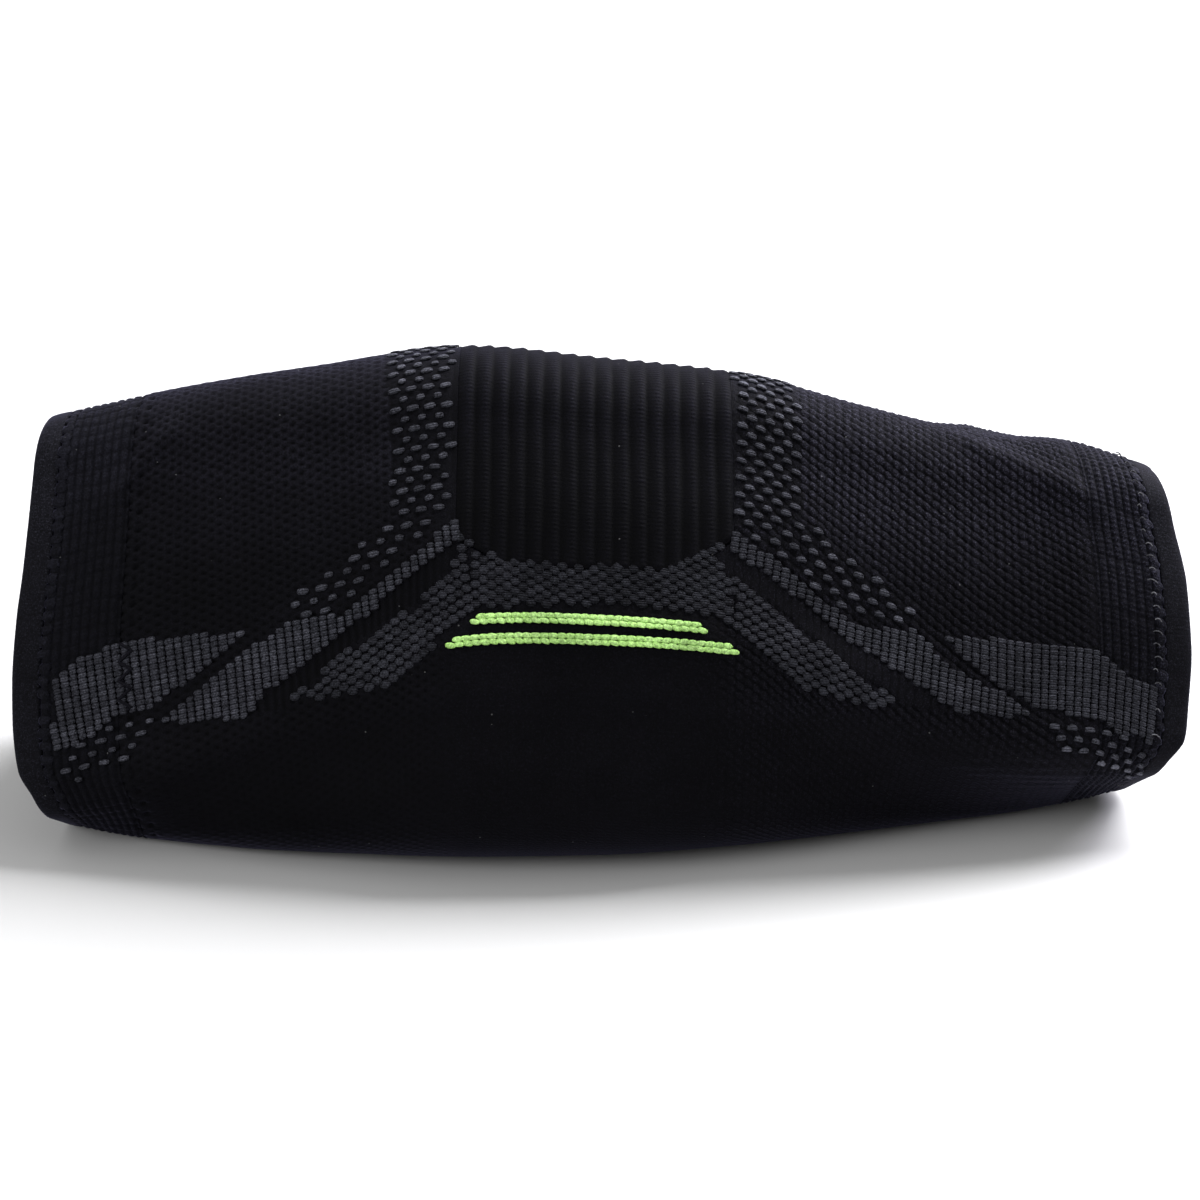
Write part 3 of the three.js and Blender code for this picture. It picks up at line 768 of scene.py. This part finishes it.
def hem(node, seam, edge):
    """A rolled hem of fine jersey: a flat roll in section, squarer at the seam, with fine lines across it."""
    count, steps = 720, 24
    turn = 2 * np.pi * np.arange(steps) / steps
    middle, half_wide, half_thick = (seam + edge) / 2, abs(edge - seam) / 2, HEM_WALL / 2
    c, s = np.cos(turn), np.sin(turn)
    squared = np.where(c < -0.01, 5.0, 2.8)
    out = np.sign(s) * np.abs(s) ** (2 / squared) * half_thick - half_thick
    along = middle + np.sign(edge) * np.sign(c) * np.abs(c) ** (2 / squared) * half_wide
    order = slice(None) if edge < 0 else slice(None, None, -1)
    along, out, s = along[order], out[order], s[order]
    around = whole_rounds(along, count)
    wide = np.broadcast_to(along[:, None], around.shape)
    fine = np.cos(2 * np.pi * np.arange(count) / 3)[None, :] * np.ones(around.shape)
    height = out[:, None] + 0.03 * fine + 0.12 * np.sin(around / 9.0)
    points = surface(wide, around, height)
    # Painted shade: the roll is lighter on its outer face and darker underneath, with the painted side shade
    relief = np.clip(0.55 + 0.1 * fine + 0.1 * s[:, None], 0, 1) * painted_side_shade(wide, around)
    return cloth_tube(node, points, HEM, relief)


HEM_LAP = 0.5  # how far a hem reaches past its seam towards the cuff
CALF_HEM_OVER = 0.9  # how far the calf hem reaches past the end
thigh_hem = hem("thigh_hem", THIGH_SEAM + HEM_LAP, -HALF_LENGTH)
calf_hem = hem("calf_hem", CALF_SEAM - HEM_LAP, HALF_LENGTH + CALF_HEM_OVER)


# Stitches: small closed pillows of yarn on the knit

def pillow(segments):
    """Points and faces of one pillow of half size 1: rings of (radius, height), closed above and below, with
    sides a little squared."""
    rings = [(0.58, 0.93), (0.9, 0.56), (1.0, 0.0), (0.8, -0.35)]
    turn = 2 * np.pi * np.arange(segments) / segments
    c, s = np.cos(turn), np.sin(turn)
    c, s = np.sign(c) * np.abs(c) ** 0.8, np.sign(s) * np.abs(s) ** 0.8
    points = [(0, 0, 1)]
    for radius, height in rings:
        points += [(radius * x, radius * y, height) for x, y in zip(c, s)]
    points.append((0, 0, -0.4))
    points = np.array(points)
    j = np.arange(segments)
    k = (j + 1) % segments
    quads = 1 + ring_faces(len(rings), segments, close_rows=False)
    low = 1 + (len(rings) - 1) * segments
    above = np.stack([0 * j, 1 + j, 1 + k], -1)
    below = np.stack([low + k, low + j, 0 * j + len(points) - 1], -1)
    return points, quads, np.concatenate([above, below])


def stitches(name, places, material, segments=8, nodes=(), arch=(0, 0), ragged=0.05):
    """One piece of many pillows, on both sides of the leg. A row of places is (along, distance from the
    ridge, half length, half width, rise, lift, turn, tone). Turn tilts the length down towards the calf, in
    radians, and tone makes the pillow lighter or darker. Arch is how far its ends hang down, in half widths,
    on the thigh and on the calf, and ragged is how uneven its outline is."""
    shape, quads, caps = pillow(segments)
    rows = np.asarray(places, float)
    u, s, a, b, h, lift, turn, tone = rows.T[:, :, None]
    ragged = 1 + ragged * rng.standard_normal((len(rows), len(shape)))
    x = shape[None, :, 0] * a * ragged
    hang = np.where(u < 0, *arch) * (shape[None, :, 0] ** 2 - 0.4)
    y = (shape[None, :, 1] + hang) * b * ragged
    along = u + x * np.cos(turn) - y * np.sin(turn)
    distance = s + x * np.sin(turn) + y * np.cos(turn)
    height = lift + h * shape[None, :, 2]
    tone = tone + np.broadcast_to(rng.uniform(-0.1, 0.1, (len(rows), 1)), along.shape)
    # Painted shade: each pillow is lighter on top and darker underneath
    shade = np.clip(np.clip(0.45 + 0.45 * shape[None, :, 2], 0, 1) + tone, 0, 1)
    weave = np.stack([x, y, 0 * x], -1).reshape(-1, 3)
    points, faces4, faces3 = [], [], []
    for number, side in enumerate((-1, 1)):
        points.append(surface(along, side * distance, height).reshape(-1, 3))
        shift = len(shape) * (len(rows) * number + np.arange(len(rows))[:, None, None])
        order = slice(None, None, -1) if side < 0 else slice(None)
        faces4.append((quads[None] + shift).reshape(-1, 4)[:, order])
        faces3.append((caps[None] + shift).reshape(-1, 3)[:, order])
    faces = [np.concatenate(faces4), np.concatenate(faces3)]
    return new_piece(name, np.concatenate(points), faces, material, np.tile(shade.ravel(), 2), nodes,
                     np.tile(weave, (2, 1)))


def lattice(zone, column, pitch, lean, first, shifted=True):
    """Places (along, distance, column number) of a zone's stitches. Columns are column apart, with one at the
    place first, and lean along the leg by lean for each mm down. Stitches are pitch apart, and every second
    column is half a stitch off if shifted."""
    xs, ys = (np.array(v) for v in zip(*zone))
    middle = ys.mean()
    spread = abs(lean) * (ys.max() - ys.min())
    found = []
    low, high = (int((edge - first) // column) for edge in (xs.min() - spread, xs.max() + spread))
    for number in range(low, high + 2):
        start = 0.5 * pitch * (number % 2) if shifted else 0
        y = start + pitch * np.arange(int(ys.min() / pitch) - 1, int(ys.max() / pitch) + 2)
        x = first + number * column + lean * (y - middle)
        keep = inside(zone, x, y) & (y > -0.1)
        found += [(u, v, number) for u, v in zip(x[keep], y[keep])]
    return found


# For each zone: the spacing of its columns, that in a column, its lean, and the place of one column
SPARSE_LATTICE = [
    (1.9, 4.7, 0.1, -34.3),
    (2.0, 4.15, -0.05, 29.3),
    (2.04, 5.05, 0.19, -50),
    (2.1, 5.0, -0.24, 50),
    (2.25, 4.7, 0.11, -110),
    (2.1, 4.6, -0.24, 110),
]
DENSE_LATTICE = [
    (1.69, 2.13, 0.0, -21.4),
    (1.78, 2.2, 0.13, -30.9),
    (1.8, 2.2, -0.14, 29.2),
]
CHAIN_LATTICE = [
    (1.9, 1.15, 0.12, -45),
    (1.9, 1.15, -0.12, 40),
    (1.9, 1.13, 0.12, -75.4),
    (1.9, 1.13, -0.12, 71.1),
    (1.95, 1.2, 0.15, -100),
    (1.97, 1.08, -0.04, 100),
]
# Wide-set dots: half length on even and odd columns, half width, that of the low ones, rise and lift
SPARSE_LONG = {"thigh": (1.34, 0.98), "calf": (1.26, 1.16)}
SPARSE_WIDE, SPARSE_LOW_WIDE, SPARSE_RISE, SPARSE_LIFT = 0.74, 0.62, 0.36, 0.22
# Close dots: half length, half width, rise, lift, and the room that each needs
DENSE_LONG, DENSE_WIDE, DENSE_RISE, DENSE_LIFT, DENSE_ROOM = 1.14, 0.88, 0.18, 0.26, 1.25
# Chain stitches: half length on even and odd columns, in columns, half width in pitches, rise and lift
CHAIN_LONG = (0.46, 0.54)
CHAIN_WIDE, CHAIN_RISE, CHAIN_LIFT = 0.62, 0.34, 0.2


def sparse_dots():
    """Wide-set dots. Every second column on the thigh side has smaller dots. The dots carry painted light:
    they are lighter near the ridge, and the low ones on the calf side have a painted highlight where they
    catch the light."""
    rows = []
    for zone, spacing in zip(SPARSE_ZONES, SPARSE_LATTICE):
        left, low = zone[0][0] < 0, zone[0][1] > 60
        for x, y, number in lattice(zone, *spacing):
            size = rng.uniform(0.92, 1.06)
            long = SPARSE_LONG["thigh" if left else "calf"][number % 2]
            wide = SPARSE_LOW_WIDE if low else SPARSE_WIDE
            tilt = (-0.1 if left else 0.18) * ease((45 - y) / 30)
            tone = -0.28 + 0.24 * ease((24 - y) / 24)
            tone = tone + 0.4 * ease((y - 72) / 4) if low and not left else tone
            tilt = tilt + rng.normal(0, 0.07)
            rows.append((x, y, long * size, wide * size, SPARSE_RISE, SPARSE_LIFT, tilt, tone))
    return rows


def dense_dots():
    """Close dots, with painted shade that is darkest under the middle of the panel. Where two zones meet,
    none stands on another.
    """
    rows = []
    for zone, spacing in zip(DENSE_ZONES, DENSE_LATTICE):
        lean = spacing[2]
        for x, y, _ in lattice(zone, *spacing):
            if rows and np.hypot(*(np.array(rows)[:, :2] - (x, y)).T).min() < DENSE_ROOM:
                continue
            size = rng.uniform(0.94, 1.06)
            tone = -0.49 - 0.2 * np.exp(-((x / 32) ** 2))
            tilt = lean + rng.normal(0, 0.07)
            rows.append((x, y, DENSE_LONG * size, DENSE_WIDE * size, DENSE_RISE, DENSE_LIFT, tilt, tone))
    return rows


def chain_stitches():
    """Stacked stitches that touch down each column, with a dark line between wide and narrow columns."""
    rows = []
    for zone, spacing in zip(CHAIN_ZONES, CHAIN_LATTICE):
        column, pitch = spacing[:2]
        for x, y, number in lattice(zone, *spacing, shifted=False):
            size = rng.uniform(0.97, 1.03)
            long = CHAIN_LONG[number % 2] * column * size
            wide = CHAIN_WIDE * pitch * size
            tone = -0.32 if x < 0 else -0.43
            rows.append((x, y, long, wide, CHAIN_RISE, CHAIN_LIFT, rng.normal(0, 0.05), tone))
    return rows


sparse_piece = stitches("grey_dots_wide", sparse_dots(), GREY, 12, arch=(0.05, 0.4))
dense_piece = stitches("grey_dots_close", dense_dots(), GREY, 10, arch=(0.1, 0.1))
chain_piece = stitches("grey_chain_bands", chain_stitches(), GREY)

# Lime stripes: two rows of chain stitches each, half a stitch off each other, with stepped ends
# name, start, end, and distance from the ridge at the start, middle and end
STRIPES = [
    ("upper", -29.2, 21.2, 67.3, 65.3, 64.3),
    ("lower", -34.3, 27.9, 72.3, 69.5, 67.9),
]
# A stitch's length, the rows' spacing, how far the ends step, and the half sizes, rise and lift of a stitch
LIME_STITCH, LIME_ROW, LIME_STEP = 1.84, 1.12, 1.38
LIME_LONG, LIME_WIDE, LIME_RISE, LIME_LIFT = 0.64, 0.55, 0.36, 0.42
for stripe_name, start, end, *reach in STRIPES:
    rows = []
    places = np.array([start, (start + end) / 2, end])
    for row, step in ((-0.5, LIME_STEP), (0.5, 0)):
        count = round((end - start - 2 * step) / LIME_STITCH)
        for x in start + step + (np.arange(count) + 0.5) * (end - start - 2 * step) / count:
            y = float(curve_at(places, np.array(reach, float), np.array(x))) + row * LIME_ROW
            long = LIME_LONG * LIME_STITCH * rng.uniform(0.95, 1.05)
            wide = LIME_WIDE * LIME_ROW * rng.uniform(0.94, 1.06)
            tilt = 0.1 * np.sign(row) + rng.normal(0, 0.05)
            rows.append((x, y, long, wide, LIME_RISE, LIME_LIFT, tilt, 0))
    stitches(f"lime_stripe_{stripe_name}", rows, LIME, 12,
             nodes=[f"stripe_{stripe_name}_near", f"stripe_{stripe_name}_far"])


# Seam threads, down to where the sleeve rests on the ground
THREAD_REACH, SEAM_STITCH = 0.78, 2.85
ZIGZAG_RADIUS, ZIGZAG_LIFT = 0.4, 0.5
OVERLOCK_LIFT, OVERLOCK_RAGGED = -0.28, 0.12
LOOP_HALF, LOOP_RADIUS = 1.0, 0.13


def tubes(name, lines, radius, material, tones=None, segments=6):
    """One piece of many threads. Each line is an array of (along, around, height) places, and tones has a
    factor of each thread's lightness."""
    points, quads, caps, relief = [], [], [], []
    start = 0
    turn = 2 * np.pi * np.arange(segments) / segments
    for line, tone in zip(lines, tones or [1] * len(lines)):
        line = np.asarray(line, float)
        path = surface(*line.T)
        out = surface(line[:, 0], line[:, 1], line[:, 2] + 1) - path
        run = np.gradient(path, axis=0)
        run /= np.linalg.norm(run, axis=1, keepdims=True)
        side = np.cross(run, out)
        side /= np.linalg.norm(side, axis=1, keepdims=True)
        out = np.cross(side, run)
        ring = side[:, None] * np.cos(turn)[:, None] + out[:, None] * np.sin(turn)[:, None]
        thin = np.ones(len(line))
        thin[[0, -1]] = 0.55
        points.append((path[:, None] + ring * radius * thin[:, None, None]).reshape(-1, 3))
        quads.append(start + ring_faces(len(line), segments, close_rows=False))
        ring_ends = np.arange(segments)[::-1], np.arange(segments) + (len(line) - 1) * segments
        caps.append(start + np.array(ring_ends))
        # Painted shade: each thread is lighter on its outer side and darker underneath
        relief.append(tone * np.tile(0.5 + 0.5 * np.sin(turn), len(line)))
        start += len(line) * segments
    faces = [np.concatenate(quads), np.concatenate(caps)]
    return new_piece(name, np.concatenate(points), faces, material, np.concatenate(relief))


def zigzag(along, half_wide, pitch):
    """A dark zigzag of thread over the grey stitches that cross a join, one line on each side."""
    distance = np.arange(0, THREAD_REACH * float(half_round(along)), pitch / 12)
    distance = distance[in_zones(CHAIN_ZONES, np.full(distance.shape, along), distance)]
    swing = 2 * np.abs((distance / pitch) % 1 - 0.5) * 2 - 1
    lift = np.full(distance.shape, ZIGZAG_LIFT)
    return [np.stack([along + half_wide * swing, side * distance, lift], -1) for side in (-1, 1)]


def seam_places(along):
    return np.arange(SEAM_STITCH / 2, THREAD_REACH * float(half_round(along)), SEAM_STITCH)


def overlock(name, along, half_long, slant, material):
    """Flat uneven stitches across a hem's seam, with dark pits between them."""
    rows = []
    for y in seam_places(along):
        long = half_long * rng.uniform(0.8, 1.1)
        wide = SEAM_STITCH * rng.uniform(0.36, 0.46)
        tall = rng.uniform(0.28, 0.36)
        tone = rng.uniform(-0.28, -0.06) - 0.3 * (1 - painted_side_shade(along, y))
        place = along + rng.normal(0, 0.2), y + rng.normal(0, 0.16)
        rows.append((*place, long, wide, tall, OVERLOCK_LIFT, slant + rng.normal(0, 0.2), tone))
    return stitches(name, rows, material, 10, ragged=OVERLOCK_RAGGED)


def loops(along):
    """Short pale loops over a seam's stitches, uneven and most of them on the upper sides, and each one's
    lightness."""
    t = np.linspace(-1, 1, 7)
    lines, tones = [], []
    for y in seam_places(along):
        for side in (-1, 1):
            half = LOOP_HALF * rng.uniform(0.45, 1.2)
            at = along + rng.normal(0, 0.3)
            tone = rng.uniform(0.4, 1.1)
            if rng.random() < (0.95 if 4 < y < 50 else 0.35):
                bow = side * (y - 0.9 + 0.42 * t**2)
                lines.append(np.stack([at + half * t, bow, 0.3 + 0.28 * (1 - t**2)], -1))
                tones.append(tone)
    return lines, tones


THIGH_OVERLOCK, CALF_OVERLOCK, CALF_LOOPS = -122.6, 123.6, 122.6
zigzag_lines = zigzag(JOIN_SEAM, JOIN_SWING, JOIN_PITCH)
thigh_zigzag = tubes("thigh_zigzag", zigzag_lines, ZIGZAG_RADIUS, THREAD)
thigh_overlock = overlock("thigh_overlock", THIGH_OVERLOCK, half_long=1.7, slant=0.3, material=CUFF)
calf_overlock = overlock("calf_overlock", CALF_OVERLOCK, half_long=1.45, slant=0.45, material=CALF_CUFF)
loop_lines, loop_tones = loops(CALF_LOOPS)
calf_loops = tubes("calf_seam_loops", loop_lines, LOOP_RADIUS, PALE_THREAD, loop_tones)


# The width of each piece of cloth laid flat, which declare works out but does not use

def declare(piece, start, end, *on_it):
    width = float(np.mean(2 * half_round(np.linspace(start, end, 9)))) * MM


# Floor and light
FLOOR_HALF, FLOOR_DROP = 4.0, 0.0002
floor_mesh = bpy.data.meshes.new("floor")
corners = [(x * FLOOR_HALF, y * FLOOR_HALF, -FLOOR_DROP) for x, y in ((-1, -1), (1, -1), (1, 1), (-1, 1))]
floor_mesh.from_pydata(corners, [], [(0, 1, 2, 3)])
floor = add_object("floor", floor_mesh)
floor_material, floor_tree, floor_shader = nodes_of("floor")
feed_all(floor_tree, floor_shader, {"Base Color": (0.5, 0.5, 0.5, 1),
                                  "Roughness": 0.9, "Specular IOR Level": 0.1})
floor_mesh.materials.append(floor_material)

# name, place, target, size, power, colour
LIGHTS = [
    ("key_softbox", (0.9, 0.7, 1.6), (0.03, 0, 0.05), 1.3, 86, (0.98, 0.98, 1)),
    ("rim_softbox", (1.3, 1.0, 0.8), (0.08, 0, 0.08), 0.7, 34, (0.9, 0.88, 1)),
    ("side_fill", (-1.3, -0.9, 0.7), (-0.03, 0, 0.05), 0.9, 14, (1, 1, 1)),
]
for name, place, target, size, power, colour in LIGHTS:
    light = bpy.data.lights.new(name, "AREA")
    light.shape, light.size, light.energy, light.color = "DISK", size, power, colour
    lamp = add_object(name, light)
    lamp.location = place
    lamp.rotation_euler = (Vector(target) - Vector(place)).to_track_quat("-Z", "Y").to_euler()

SKY_STRENGTH = (0.25, 0.9)  # at the horizon and overhead
world = bpy.data.worlds.new("studio")
world.use_nodes = True
sky = world.node_tree
direction = add_node(sky, "TexCoord").outputs["Generated"]
height = split(sky, direction)[2]
strength = map_range(sky, height, (0.0, 1.0), SKY_STRENGTH)
sky.links.new(strength, sky.nodes["Background"].inputs["Strength"])
sky.nodes["Background"].inputs["Color"].default_value = (1, 1, 1, 1)
scene.world = world
scene.view_settings.view_transform = "Standard"

declare(thigh_knit, THIGH_JOIN, PANEL_START, sparse_piece)
declare(knee_knit, PANEL_START, PANEL_END, dense_piece)
declare(calf_knit, PANEL_END, CALF_JOIN, chain_piece)
declare(thigh_cuff, THIGH_SEAM, THIGH_JOIN, thigh_hem, thigh_overlock, thigh_zigzag)
declare(calf_cuff, CALF_JOIN, CALF_SEAM, calf_hem, calf_overlock, calf_loops)
